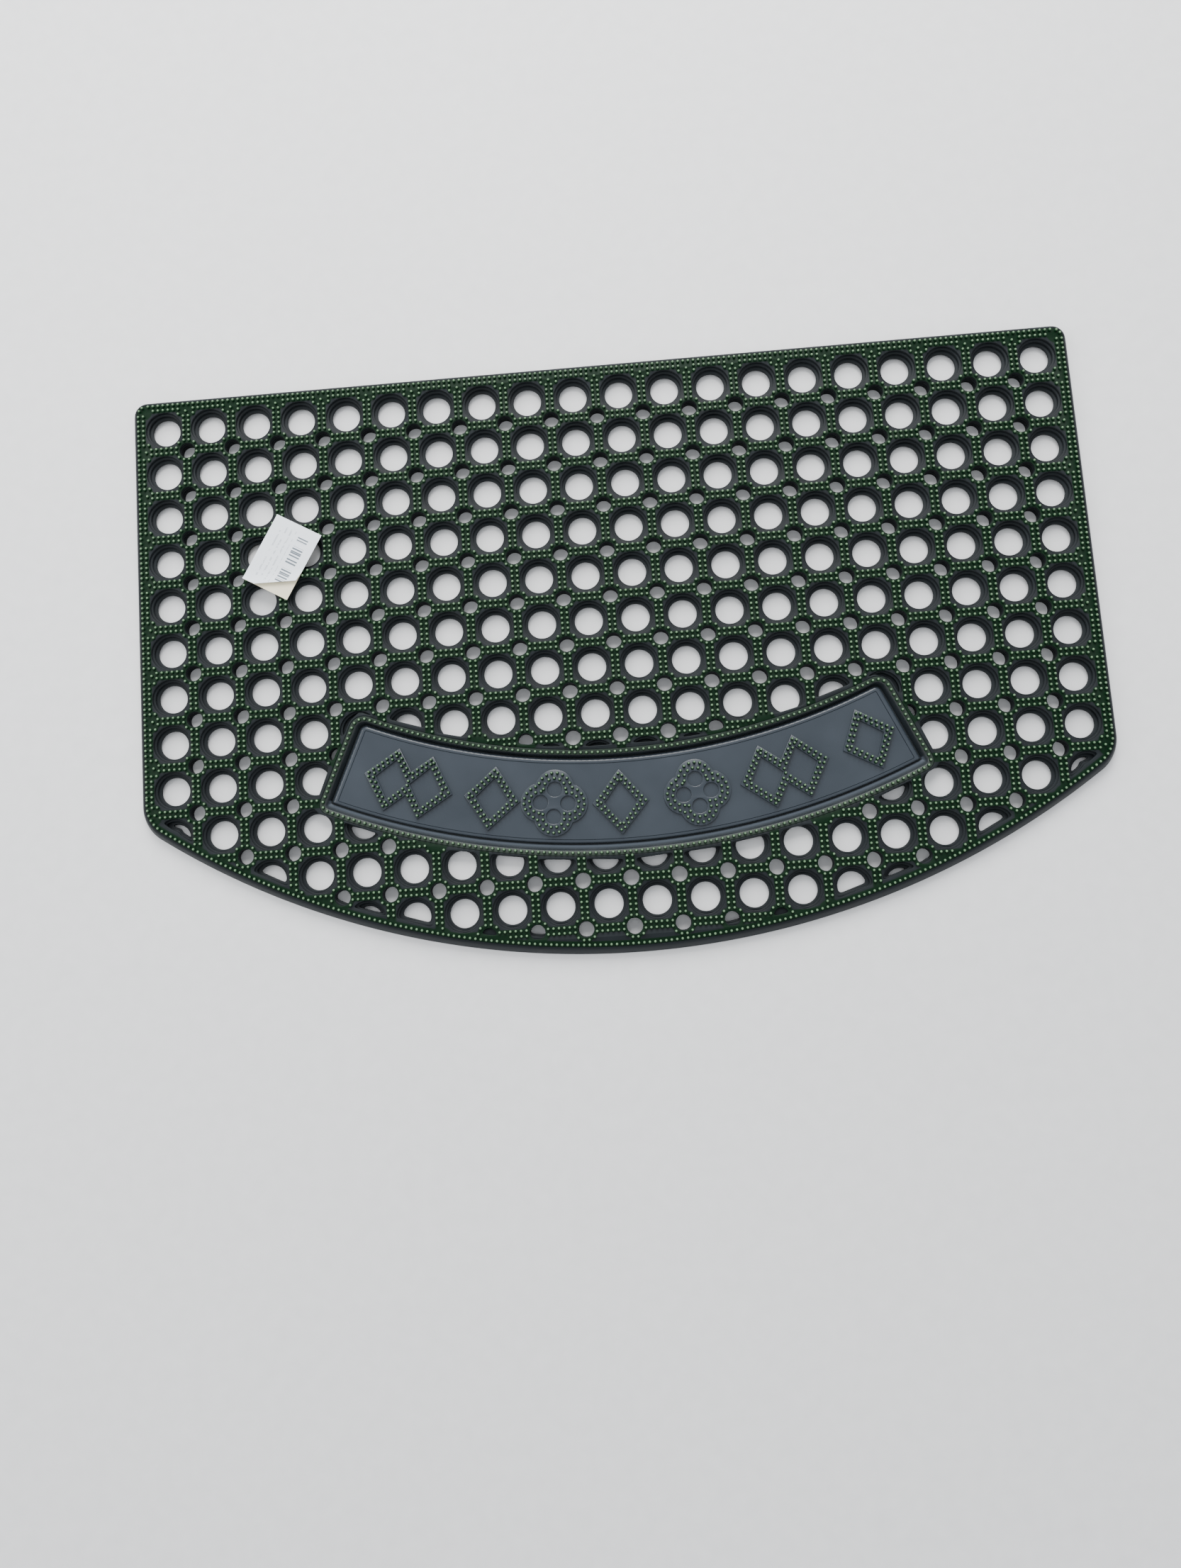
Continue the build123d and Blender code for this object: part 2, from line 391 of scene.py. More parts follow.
# %% The finish helper
class Finish:
    """One material, with its nodes made by a single method."""

    def __init__(self, name):
        self.material = bpy.data.materials.new(name)
        self.material.use_nodes = True
        self.tree = self.material.node_tree
        self.tree.nodes.clear()

    def node(self, kind, settings, inputs, output=0):
        made = self.tree.nodes.new(kind)
        for key, value in settings.items():
            setattr(made, key, value)
        for key, value in inputs.items():
            if isinstance(value, Value):
                self.tree.links.new(value.socket, made.inputs[key])
            else:
                made.inputs[key].default_value = value
        return Value(self, made.outputs[output])

    def place(self):
        """The point's place on the object."""
        return self.node("ShaderNodeTexCoord", {}, {}, "Object")

    def parts(self, point):
        """The three numbers of a place."""
        across = self.node("ShaderNodeSeparateXYZ", {}, {0: point}, "X")
        outputs = across.socket.node.outputs
        return across, Value(self, outputs["Y"]), Value(self, outputs["Z"])

    def noise(self, point, scale, detail):
        inputs = {"Vector": point, "Scale": scale, "Detail": detail}
        return self.node("ShaderNodeTexNoise", {}, inputs)

    def ease(self, value, low, high):
        """0 below low, 1 above high and a soft step between."""
        settings = {"interpolation_type": "SMOOTHSTEP"}
        inputs = {"Value": value, "From Min": low, "From Max": high}
        return self.node("ShaderNodeMapRange", settings, inputs)

    def mix(self, factor, one, other):
        """A colour between two colours: inputs 6 and 7 and output 2 are the colour sockets."""
        return self.node("ShaderNodeMix", {"data_type": "RGBA"}, {0: factor, 6: one, 7: other}, 2)

    def close(self, inputs, bump=None, depth=0.0):
        """The surface shader and the output."""
        if bump is not None:
            inputs["Normal"] = self.node("ShaderNodeBump", {}, {"Height": bump, "Distance": depth})
        surface = self.node("ShaderNodeBsdfPrincipled", {}, inputs)
        out = self.tree.nodes.new("ShaderNodeOutputMaterial")
        self.tree.links.new(surface.socket, out.inputs["Surface"])
        print("finish", self.material.name, len(self.tree.nodes), "nodes")
        return self.material


print("ready:", Finish.__doc__)

# %% [markdown]
# ## Black rubber, with the green skin on the webs
# Moulded rubber is nearly black and dull, with a faint bloom. The green rubber of the pins
# spreads in a thin skin along every web, round each crossing and along the border. The
# skin is far too thin to model, so it is a pattern that measures the distance to the
# nearest web line.

# %% Rubber finishes
black = (0.006, 0.0078, 0.0088, 1)
bloom = (0.017, 0.0215, 0.0245, 1)
skin_green = (0.0001, 0.0125, 0.0030, 1)
dull_gloss = 0.14
cloud_scale = 45.0
grain_scale = 1500.0
grain_depth = 0.00006
web_skin = (3.2 * MM, 3.9 * MM)
crossing_skin = (9.0 * MM, 9.8 * MM)
border_skin = (9.2 * MM, 10.0 * MM)
skin_height = ((land_top - 0.35) * MM, (land_top - 0.1) * MM)


def rubber(name, skin):
    """Dull black rubber; skin adds the green lines on the top lands."""
    finish = Finish(name)
    point = finish.place()
    cloud = finish.noise(point, cloud_scale, 3.0)
    grain = finish.noise(point, grain_scale, 2.0)
    colour = finish.mix(cloud, black, bloom)
    if skin:
        x, y, z = finish.parts(point)
        half_cell = cell * MM / 2
        to_column = x.math("PINGPONG", half_cell)
        to_row = (y - back_line * MM).math("PINGPONG", half_cell)
        on_web = 1 - finish.ease(to_column.math("MINIMUM", to_row), *web_skin)
        across = (to_column * to_column + to_row * to_row).math("SQRT")
        on_crossing = 1 - finish.ease(across, *crossing_skin)
        drop = y - front_centre * MM
        front = front_radius * MM - (x * x + drop * drop).math("SQRT")
        inwards = (back_edge * MM - y).math("MINIMUM", half_width * MM - x.math("ABSOLUTE"))
        inwards = inwards.math("MINIMUM", front)
        on_border = 1 - finish.ease(inwards, *border_skin)
        mask = on_web.math("MAXIMUM", on_crossing).math("MAXIMUM", on_border)
        mask = mask * finish.ease(z, *skin_height)
        colour = finish.mix(mask, colour, skin_green)
    inputs = {"Base Color": colour, "Roughness": 0.42 + 0.22 * cloud, "Specular IOR Level": dull_gloss}
    return finish.close(inputs, grain, grain_depth)


plain_rubber = rubber("plain_rubber", False)
skinned_rubber = rubber("skinned_rubber", True)

# %% [markdown]
# ## Satin slate for the panel
# The panel is pressed against a polished part of the mould, so it comes out smoother and
# paler than the lattice. It differs in gloss and in the size of its grain.

# %% Satin finish
dark_slate = (0.022, 0.029, 0.038, 1)
pale_slate = (0.036, 0.046, 0.058, 1)
panel_gloss = 0.4
panel_grain_depth = 0.00002


def satin():
    """Smooth slate rubber of the panel and the ornaments."""
    finish = Finish("satin_slate")
    point = finish.place()
    cloud = finish.noise(point, 30.0, 2.0)
    colour = finish.mix(cloud, dark_slate, pale_slate)
    grain = finish.noise(point, 2200.0, 1.0)
    roughness = 0.22 + 0.12 * cloud
    inputs = {"Base Color": colour, "Roughness": roughness, "Specular IOR Level": panel_gloss}
    return finish.close(inputs, grain, panel_grain_depth)


satin_slate = satin()

# %% [markdown]
# ## Green pins, with painted shade at the root and painted light at the tips
# Pins are dark green at the root, as painted shade between the pins, and pale at the tip,
# partly as painted top light and partly where shoes have worn them. Their colour therefore
# follows height, with soft patches that keep the tips from being alike.

# %% Pin finish
# Painted shade and light: the dark root stands for shade between the pins, the pale tips for top light
# together with wear.
shaded_root_green = (0.0025, 0.028, 0.0095, 1)
lit_worn_tip_green = (0.105, 0.190, 0.100, 1)
lit_worn_pale_green = (0.200, 0.300, 0.185, 1)
lit_worn_tip_height = ((land_top + 1.35) * MM, (pin_top - 0.1) * MM)


def pin_green():
    """Green rubber with painted shade at the root and painted top light and wear at the tips."""
    finish = Finish("pin_green")
    point = finish.place()
    _, _, z = finish.parts(point)
    patch = finish.noise(point, 60.0, 3.0)
    lit_worn_tips = finish.mix(patch, lit_worn_tip_green, lit_worn_pale_green)
    # Painted shade low on the pin, painted top light mixed with wear at the tip.
    colour = finish.mix(finish.ease(z, *lit_worn_tip_height), shaded_root_green, lit_worn_tips)
    inputs = {"Base Color": colour, "Roughness": 0.5 + 0.1 * patch, "Specular IOR Level": dull_gloss}
    return finish.close(inputs)


green_pins = pin_green()

# %% [markdown]
# ## The banner's border, green on top
# The raised border has green rubber on its flat top only. Its sloping inner wall is black, with
# painted light on the lower side that faces the lamp: paler low down, as a painted highlight by the
# groove.

# %% Banner border finish
# Painted light: the lower slope is painted paler, as if lit by the lamp, with a painted highlight low
# down.
lit_slope_grey = (0.070, 0.083, 0.100, 1)
land_height = ((land_top - 0.3) * MM, (land_top - 0.05) * MM)
lit_lower_slope = ((banner_outer - 9.0) * MM, (banner_outer - 7.5) * MM)
slope_highlight_height = ((tray_floor_top + 0.4) * MM, (land_top - 1.2) * MM)


def banner_land():
    """Black rubber with painted light on the lower slope, a pale painted highlight low down, and green
    skin on its flat top.
    """
    finish = Finish("banner_land")
    point = finish.place()
    x, y, z = finish.parts(point)
    cloud = finish.noise(point, cloud_scale, 3.0)
    skin = finish.ease(z, *land_height)
    drop = y - banner_centre * MM
    radius = (x * x + drop * drop).math("SQRT")
    # Painted light: a pale painted highlight low on the lower slope, fading darker higher up; the
    # upper side and ends stay black.
    lit_lower_side = finish.ease(radius, *lit_lower_slope)
    painted_slope_light = finish.mix(finish.ease(z, *slope_highlight_height), lit_slope_grey, bloom)
    wall = finish.mix(lit_lower_side, finish.mix(cloud, black, bloom), painted_slope_light)
    colour = finish.mix(skin, wall, skin_green)
    return finish.close({"Base Color": colour, "Roughness": 0.24 + 0.30 * skin})


green_land = banner_land()

# %% [markdown]
# ## Finishing a piece
# Every piece goes through the same last steps: close seams, turn faces outwards, scale to metres,
# smooth the shading, hang it on the body it rides on and hide the sections it stands for.

# %% The piece helper
made_pieces = []
seam = 0.004
soft_crease = math.radians(40)


def finish_piece(name, bm, replaced, material, crease=soft_crease):
    """Make a bmesh a finished object of the mat."""
    bmesh.ops.remove_doubles(bm, verts=bm.verts, dist=seam)
    bmesh.ops.recalc_face_normals(bm, faces=bm.faces)
    bmesh.ops.scale(bm, vec=(MM, MM, MM), verts=bm.verts)
    for face in bm.faces:
        face.smooth = True
    for edge in bm.edges:
        edge.smooth = edge.calc_face_angle(0.0) < crease
    mesh = bpy.data.meshes.new(name)
    bm.to_mesh(mesh)
    bm.free()
    mesh.materials.append(material)
    piece = bpy.data.objects.new(name, mesh)
    bpy.context.scene.collection.objects.link(piece)
    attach(piece, "root")
    for node in replaced:
        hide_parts(node)
    mesh.calc_loop_triangles()
    made_pieces.append(piece)
    print(name, len(mesh.loop_triangles), "triangles")


print("seams closed below", seam, "mm")

# %% [markdown]
# ## The lattice in three layers
# Each cup steps down from a wide rim to a ledge and then to a smaller drain hole. A flat
# curve with round holes, thickened and given a rounded edge, makes one layer. Cutting
# hundreds of holes with booleans would be slower and leave ragged faces.

# %% Flat openwork layers
def flat_shape(loops, bottom, top, edge):
    """A flat plate with holes and rounded edges, from closed loops of points."""
    curve = bpy.data.curves.new("plate", "CURVE")
    curve.dimensions = "2D"
    curve.fill_mode = "BOTH"
    curve.extrude = (top - bottom) / 2 - edge
    curve.bevel_depth = edge
    curve.bevel_resolution = 1
    curve.offset = -edge
    for loop in loops:
        spline = curve.splines.new("POLY")
        spline.points.add(len(loop) - 1)
        spline.use_cyclic_u = True
        for point, (x, y) in zip(spline.points, loop):
            point.co = (x, y, 0, 1)
    holder = bpy.data.objects.new("plate", curve)
    bpy.context.scene.collection.objects.link(holder)
    evaluated = holder.evaluated_get(bpy.context.evaluated_depsgraph_get())
    mesh = bpy.data.meshes.new_from_object(evaluated)
    bm = bmesh.new()
    bm.from_mesh(mesh)
    bmesh.ops.translate(bm, vec=(0, 0, (top + bottom) / 2), verts=bm.verts)
    bpy.data.objects.remove(holder)
    bpy.data.meshes.remove(mesh)
    bmesh.ops.remove_doubles(bm, verts=bm.verts, dist=seam)
    turns = len(bm.verts) - len(bm.edges) + len(bm.faces)
    torn = sum(1 for edge in bm.edges if len(edge.link_faces) != 2)
    print("plate openings", 1 - turns // 2, "of", len(loops) - 1, "torn edges", torn)
    return bm


# %% [markdown]
# ## The three layers
# Every layer has the mat's outline, the banner's recess, the cups and the crossing holes.
# The lower two are tucked under the banner's border, where nothing shows, and no opening
# comes so near a wall that the two rounded edges would meet.

# %% Lattice layers
land_inset = 5.2
banner_gap = 2.6
hidden_tuck = 1.2
wall_margin = 0.4
crossing_radius = 6.1
crossing_steps = 20
crossing_least = 25.0


def layer(name, bottom, top, radius, inset, edge, least):
    """One layer of the lattice, with cups of the given radius."""
    tucked = banner_gap if top == land_top else hidden_tuck
    gap = tucked + 2 * edge + wall_margin
    loops = [outline(land_inset), banner(tucked)]
    for centre in cell_centres:
        loops.append(opening(centre, radius, cup_steps, inset, gap, least))
    for centre in crossings:
        loops.append(opening(centre, crossing_radius, crossing_steps, inset, gap, crossing_least))
    loops = [loop for loop in loops if loop is not None]
    bm = flat_shape(loops, bottom, top, edge)
    material = skinned_rubber if top == land_top else plain_rubber
    finish_piece(name + "_rounded", bm, [name], material)


layer("web_top_lattice", ledge_top, land_top, radius=14.8, inset=10.0, edge=0.5, least=12.0)
layer("cup_ledge_layer", ring_top, ledge_top, radius=13.2, inset=11.5, edge=0.8, least=12.0)
layer("drain_ring_layer", foot_top, ring_top, radius=11.0, inset=13.0, edge=0.9, least=32.0)

# %% [markdown]
# ## A section carried round a line
# The skirt, the banner's border and its panel are each a section carried round a closed
# line. One ring of edges is extruded again and again, and each new ring is moved to its
# own inset and height. The order of the points is kept from ring to ring.

# %% Rings carried through a section
def carried_ring(ring_at, section, capped):
    """Extrude a ring of points through the (distances, height) steps of a section."""
    bm = bmesh.new()
    distances, height = section[0]
    verts = [bm.verts.new((x, y, height)) for x, y in ring_at(*distances)]
    edges = [bm.edges.new((a, b)) for a, b in zip(verts, verts[1:] + verts[:1])]
    if capped:
        bmesh.ops.contextual_create(bm, geom=edges)
    for distances, height in section[1:]:
        copied = {vert: index for index, vert in enumerate(verts)}
        result = bmesh.ops.extrude_edge_only(bm, edges=edges)["geom"]
        fresh = [item for item in result if isinstance(item, bmesh.types.BMVert)]
        edges = [item for item in result if isinstance(item, bmesh.types.BMEdge)]
        edges = [edge for edge in edges if edge.verts[0] in fresh and edge.verts[1] in fresh]
        order = [None] * len(verts)
        for vert in fresh:
            for edge in vert.link_edges:
                other = edge.other_vert(vert)
                if other in copied:
                    order[copied[other]] = vert
        for vert, (x, y) in zip(order, ring_at(*distances)):
            vert.co = (x, y, height)
        verts = order
    if capped:
        bmesh.ops.contextual_create(bm, geom=edges)
    return bm


print("points carried round: skirt", len(outline(0)), "banner", len(banner(0)))

# %% [markdown]
# ## The sloping skirt
# The outer edge slopes up from the floor in a shallow curve, so that nobody trips on it.
# Each step of its section is an inset from the floor edge and a height.

# %% Skirt
skirt_section = [((0,), 0), ((0,), 0.7), ((0.5,), 2.4), ((1.5,), 5.2), ((2.6,), 7.6)]
skirt_section += [((3.6,), 9.1), ((4.4,), 9.8), ((land_inset,), land_top)]
skirt_section += [((land_inset,), 0), ((0,), 0)]
bm = carried_ring(outline, skirt_section, False)
skirt_nodes = ["edge_skirt_back", "edge_skirt_front", "edge_skirt_left", "edge_skirt_right"]
finish_piece("edge_skirt_rounded", bm, skirt_nodes, plain_rubber)

# %% [markdown]
# ## The banner's border
# The border rises from the tray to the height of the webs and slopes down inside. Where a
# step has three distances, they are for the upper side, the lower side and the two ends.

# %% Banner border
border_section = [((banner_gap,), tray_floor_top), ((banner_gap,), land_top - 0.4)]
border_section += [((2.2,), land_top), ((-1.2,), land_top), ((-1.7,), land_top - 0.4)]
border_section += [((-2.3, -3.2, -2.8), 8.0), ((-3.0, -5.2, -3.9), 6.0)]
border_section += [((-3.4, -6.4, -4.6), tray_floor_top), ((banner_gap,), tray_floor_top)]
bm = carried_ring(banner, border_section, False)
finish_piece("banner_border_rounded", bm, ["banner_border"], green_land)

# %% [markdown]
# ## The smooth panel
# The panel is a low cushion with a rounded rim. A fine line is scribed round it just
# inside the rim, as a groove half a millimetre deep, and the last ring is capped flat.

# %% Panel
panel_section = [((-4.2, -7.6, -5.6), tray_floor_top), ((-4.2, -7.6, -5.6), 5.8)]
panel_section += [((-4.6, -7.75, -6.1), 6.6), ((-5.4, -8.0, -6.9), 7.15)]
panel_section += [((-6.4, -8.4, -8.0), panel_top), ((-7.8, -9.8, -9.4), panel_top)]
panel_section += [((-8.1, -10.1, -9.7), panel_top - 0.5), ((-8.4, -10.4, -10.0), panel_top)]
bm = carried_ring(banner, panel_section, True)
finish_piece("banner_panel_rounded", bm, ["banner_panel"], satin_slate)

# %% [markdown]
# ## One pin, repeated
# A pin is a stubby post with a domed tip. There are thousands, so each has only a few
# faces. One post is shaped once and copied to every place by moving the master. Each step
# of its profile is a share of its height and a radius, and the face left inside the post
# by a later extrusion is deleted, so that only the outer skin remains.

# %% One pin
pin_sides = 8
pin_radius = 1.25
pin_profile = ((0.62, 1.08), (0.30, 0.68), (0.08, 0.26))
pin_crease = math.radians(75)


def pin_master(bottom):
    """A domed post standing on the given height."""
    bm = bmesh.new()
    circle = bmesh.ops.create_circle(bm, cap_ends=True, segments=pin_sides, radius=pin_radius)
    ring = circle["verts"]
    bmesh.ops.translate(bm, vec=(0, 0, bottom), verts=ring)
    top = bm.faces[:]
    tall = pin_top - bottom
    for step, (share, radius) in enumerate(pin_profile):
        below = top
        result = bmesh.ops.extrude_face_region(bm, geom=below)["geom"]
        top = [item for item in result if isinstance(item, bmesh.types.BMFace)]
        if step > 0:
            bmesh.ops.delete(bm, geom=below, context="FACES_ONLY")
        moved = top[0].verts[:]
        scale = radius / moved[0].co.xy.length
        bmesh.ops.scale(bm, vec=(scale, scale, 1), verts=moved)
        bmesh.ops.translate(bm, vec=(0, 0, share * tall), verts=moved)
    bmesh.ops.recalc_face_normals(bm, faces=bm.faces)
    torn = sum(1 for edge in bm.edges if len(edge.link_faces) != 2)
    print("one pin:", len(bm.faces), "faces, torn edges", torn)
    mesh = bpy.data.meshes.new("pin_master")
    bm.to_mesh(mesh)
    bm.free()
    return mesh


def pin_piece(name, places, bottom, replaced):
    """All the pins of one group as one piece."""
    master = pin_master(bottom)
    bm = bmesh.new()
    at_x = 0.0
    at_y = 0.0
    for x, y in places:
        master.transform(Matrix.Translation((x - at_x, y - at_y, 0)))
        at_x = x
        at_y = y
        bm.from_mesh(master)
    bpy.data.meshes.remove(master)
    print(name, len(places), "pins")
    finish_piece(name, bm, replaced, green_pins, pin_crease)


print("pin height on the webs:", pin_top - land_top)

# %% [markdown]
# ## Pins on the webs and round the crossings
# Each web carries two rows, six pins long between crossings, and four single pins stand
# round each crossing hole. Pins too near the border's or the banner's own row are left out.

# %% Places of the web pins
steps_per_cell = 9
pitch = cell / steps_per_cell
row_offset = pitch / 2
diagonal = 1.5 * pitch
web_steps = range(2, 8)
pin_inset = 7.0
clearance = 3.2


def has_room(x, y):
    """True where a pin of the lattice stands clear of the border and banner rows."""
    return from_edge(x, y) > pin_inset + clearance and from_banner(x, y) > clearance


row_places = []
column_places = []
for i in range(columns):
    for j in range(rows + 1):
        x = i * cell - side_line
        y = back_line - j * cell
        for k in web_steps:
            for side in (-row_offset, row_offset):
                if j > 0:
                    row_places.append((x + k * pitch, y + side))
                if i > 0:
                    column_places.append((x + side, y - k * pitch))
crossing_places = []
for x, y in crossings:
    for dx in (-diagonal, diagonal):
        for dy in (-diagonal, diagonal):
            crossing_places.append((x + dx, y + dy))
row_places = [place for place in row_places if has_room(*place)]
column_places = [place for place in column_places if has_room(*place)]
crossing_places = [place for place in crossing_places if has_room(*place)]
print("web pins:", len(row_places) + len(column_places) + len(crossing_places))

# %% [markdown]
# ## The web pins as three pieces
# Rows, columns and crossings are kept as three pieces, because a piece with too many
# triangles would be thinned when it is exported.

# %% Web pins
pin_piece("pins_along_web_rows", row_places, land_top, ["pins_web_rows"])
pin_piece("pins_along_web_columns", column_places, land_top, ["pins_web_columns"])
pin_piece("pins_round_crossings", crossing_places, land_top, [])

# %% [markdown]
# ## The border's outer row of pins
# The outer row runs right round the mat: evenly along the back and the sides, with two
# pins in each back corner, and in one even walk along the curved front.

# %% Outer row
front_pitch = 4.09
back_count = 89
side_stop = 6
corner_ring = back_corner - pin_inset
corner_turns = (math.radians(28), math.radians(62))
outer_x = half_width - pin_inset
outer_y = back_edge - pin_inset
border_places = []
for k in range(-back_count, back_count):
    border_places.append(((k + 0.5) * pitch, outer_y))
side_count = int((back_line - side_stop - corner_y) / pitch)
side_end = back_line - (side_count + 0.5) * pitch
for k in range(1, side_count + 1):
    for side in (-1, 1):
        border_places.append((side * outer_x, back_line - (k + 0.5) * pitch))
for side in (-1, 1):
    for turn in corner_turns:
        x = half_width - back_corner + corner_ring * math.cos(turn)
        y = back_edge - back_corner + corner_ring * math.sin(turn)
        border_places.append((side * x, y))
turn = math.pi + corner_lean
bend = front_corner - pin_inset
front_line = [(-outer_x, side_end)]
front_line += arc(-corner_x, corner_y, bend, math.pi, 2 * math.pi - turn, 2 * front_corner_steps)
front_line += arc(0, front_centre, front_radius - pin_inset, -turn, corner_lean, 2 * front_steps)
front_line += arc(corner_x, corner_y, bend, corner_lean, 0, 2 * front_corner_steps)
front_line += [(outer_x, side_end)]
border_places += walk(front_line, front_pitch, False)
print("outer row:", len(border_places), "pins")

# %% [markdown]
# ## The border's inner row of pins
# A second row follows the outer one on the three straight sides and gives way where a web
# comes in. There the pins stand round half a crossing instead.

# %% Inner row
inner_count = 88
inner_reach = 4
inner_places = []
inner_y = back_line - row_offset
inner_x = side_line - row_offset
for k in range(-inner_count, inner_count):
    x = (k + 0.5) * pitch
    off_web = abs((x + cell / 2) % cell - cell / 2)
    if off_web > pitch:
        inner_places.append((x, inner_y))
for k in range(1, side_count + inner_reach):
    y = back_line - (k + 0.5) * pitch
    off_web = abs((back_line - y + cell / 2) % cell - cell / 2)
    if off_web > pitch and from_edge(inner_x, y) > pin_inset + clearance:
        inner_places += [(-inner_x, y), (inner_x, y)]
for i in range(1, columns):
    x = i * cell - side_line
    inner_places += [(x - diagonal, back_line - diagonal), (x + diagonal, back_line - diagonal)]
    inner_places.append((x, back_line - pitch))
for j in range(1, rows):
    y = back_line - j * cell
    for side in (-1, 1):
        edge_places = [(side_line - diagonal, y - diagonal), (side_line - diagonal, y + diagonal)]
        edge_places.append((side_line - pitch, y))
        inner_places += [(side * x, at_y) for x, at_y in edge_places if has_room(x, at_y)]
print("inner row:", len(inner_places), "pins")

# %% [markdown]
# ## Border and banner pins
# Both rows of the border become one piece, and the row round the banner is walked evenly
# along the banner's own outline.

# %% Border and banner pins
banner_pitch = 4.37
border_nodes = ["pins_border_back", "pins_border_front", "pins_border_left", "pins_border_right"]
pin_piece("pins_along_border", border_places + inner_places, land_top, border_nodes)
pin_piece("pins_round_banner", walk(banner(0), banner_pitch, True), land_top, ["pins_banner_border"])

# %% [markdown]
# ## Seven studded ornaments
# The banner carries plain geometric ornaments: lozenges, pairs of lozenges and four-lobed
# rosettes. Each is a flat raised stroke, and the stroke is the space between a grown
# outline and a shrunk one, so one rule for outlines serves both.

# %% Ornament outlines
ornament_radius = 538.2
ornament_tall = 20.3
ornament_wide = 17.0
pair_offset = 13.5
lobe = 10.5
lobe_steps = 24
outer_lobe_steps = 18


def lozenge(centre_x, grow):
    """A lozenge's four corners."""
    tall = ornament_tall + grow
    wide = ornament_wide + grow
    return [(centre_x + wide, 0), (centre_x, tall), (centre_x - wide, 0), (centre_x, -tall)]


def ornament_loops(kind, grow):
    """Closed outlines of an ornament, grown or shrunk."""
    if kind == "lozenge":
        return [lozenge(0, grow)]
    if kind == "pair":
        wide = ornament_wide + grow
        tall = ornament_tall + grow
        if wide <= pair_offset:
            return [lozenge(-pair_offset, grow), lozenge(pair_offset, grow)]
        notch = tall * (1 - pair_offset / wide)
        right = [(pair_offset, -tall), (pair_offset + wide, 0), (pair_offset, tall), (0, notch)]
        left = [(-pair_offset, tall), (-pair_offset - wide, 0), (-pair_offset, -tall), (0, -notch)]
        return [right + left]
    radius = lobe + grow
    centres = [(lobe, 0), (0, lobe), (-lobe, 0), (0, -lobe)]
    if 2 * radius < lobe * math.sqrt(2):
        return [arc(x, y, radius, 0, 2 * math.pi, lobe_steps)[:-1] for x, y in centres]
    meet = (lobe + math.sqrt(2 * radius ** 2 - lobe ** 2)) / 2
    spread = math.atan2(meet, meet - lobe)
    loop = []
    for quarter, (x, y) in enumerate(centres):
        turn = quarter * math.pi / 2
        loop += arc(x, y, radius, turn - spread, turn + spread, outer_lobe_steps)[:-1]
    return [loop]


def on_banner(loop, degrees):
    """Move an upright outline to its place along the banner."""
    angle = math.radians(degrees)
    placed = []
    for x, y in loop:
        down = y - ornament_radius
        placed.append((x * math.cos(angle) - down * math.sin(angle),
                       banner_centre + x * math.sin(angle) + down * math.cos(angle)))
    return placed


print("loops of a shrunk rosette:", len(ornament_loops("rosette", -lobe / 2)))

# %% [markdown]
# ## Strokes and studs along the banner
# The ornaments stand along the banner at their own angles, in degrees from its middle.
# Each gets its raised stroke and two rows of pins, one on either side of the centre line.

# %% Ornaments
stroke_half = 4.7
stroke_edge = 0.5
stud_offset = 2.1
stud_pitch = 4.3
ornament_kinds = [(-17.9, "pair"), (-10.9, "lozenge"), (-5.8, "rosette"), (-0.4, "lozenge")]
ornament_kinds += [(5.85, "rosette"), (13.1, "pair"), (20.4, "lozenge")]
for number, (degrees, kind) in enumerate(ornament_kinds, 1):
    loops = ornament_loops(kind, stroke_half) + ornament_loops(kind, -stroke_half)
    loops = [on_banner(loop, degrees) for loop in loops]
    bm = flat_shape(loops, panel_top, plateau_top, stroke_edge)
    node = "ornament_plateau_" + str(number)
    finish_piece(node + "_rounded", bm, [node], satin_slate)
    places = []
    for grow in (stud_offset, -stud_offset):
        for loop in ornament_loops(kind, grow):
            places += walk(on_banner(loop, degrees), stud_pitch, True)
    node = "pins_ornament_" + str(number)
    pin_piece(node + "_studs", places, plateau_top, [node])

# %% [markdown]
# ## The price label's print
# A small paper sticker lies askew on the pins. Its print is generic: bars and grey lines
# that spell and encode nothing. Sine waves make both, in the label's own directions.

# %% Label print
label_x = -255.2
label_y = 92.6
label_turn = math.radians(-30.5)
paper_white = (0.90, 0.95, 1.0, 1)
line_grey = (0.30, 0.34, 0.38, 1)
bar_grey = (0.13, 0.16, 0.19, 1)


def label_print():
    """White paper with faint grey lines and a block of plain bars."""
    finish = Finish("label_print")
    point = finish.place()
    turned = {"Vector": point, "Location": (-label_x * MM, -label_y * MM, 0)}
    moved = finish.node("ShaderNodeMapping", {"vector_type": "POINT"}, turned)
    local = finish.node("ShaderNodeMapping", {}, {"Vector": moved, "Rotation": (0, 0, -label_turn)})
    across, along, _ = finish.parts(local)
    bar_wave = (along * 2000.0).math("SINE") + (along * 3300.0).math("SINE")
    bars = (bar_wave > 0.0) * ((along * 330.0).math("SINE") > -0.75)
    bars = bars * (across > 4 * MM) * (across < 13 * MM) * (along.math("ABSOLUTE") < 20 * MM)
    lines = ((across * 1500.0).math("SINE") > 0.55) * (across > -15 * MM) * (across < 1 * MM)
    broken = finish.noise(local, 420.0, 1.0) > 0.47
    lines = lines * broken * (along.math("ABSOLUTE") < 23 * MM)
    paper = finish.mix(lines * 0.45, paper_white, line_grey)
    colour = finish.mix(bars, paper, bar_grey)
    return finish.close({"Base Color": colour, "Roughness": 0.45})


label_paper = label_print()

# %% [markdown]
# ## Cream backing, and a plain finish for quiet surfaces
# The label's backing is dull cream paper. Surfaces like it need only one colour, with a
# little cloudiness so that they don't look painted.

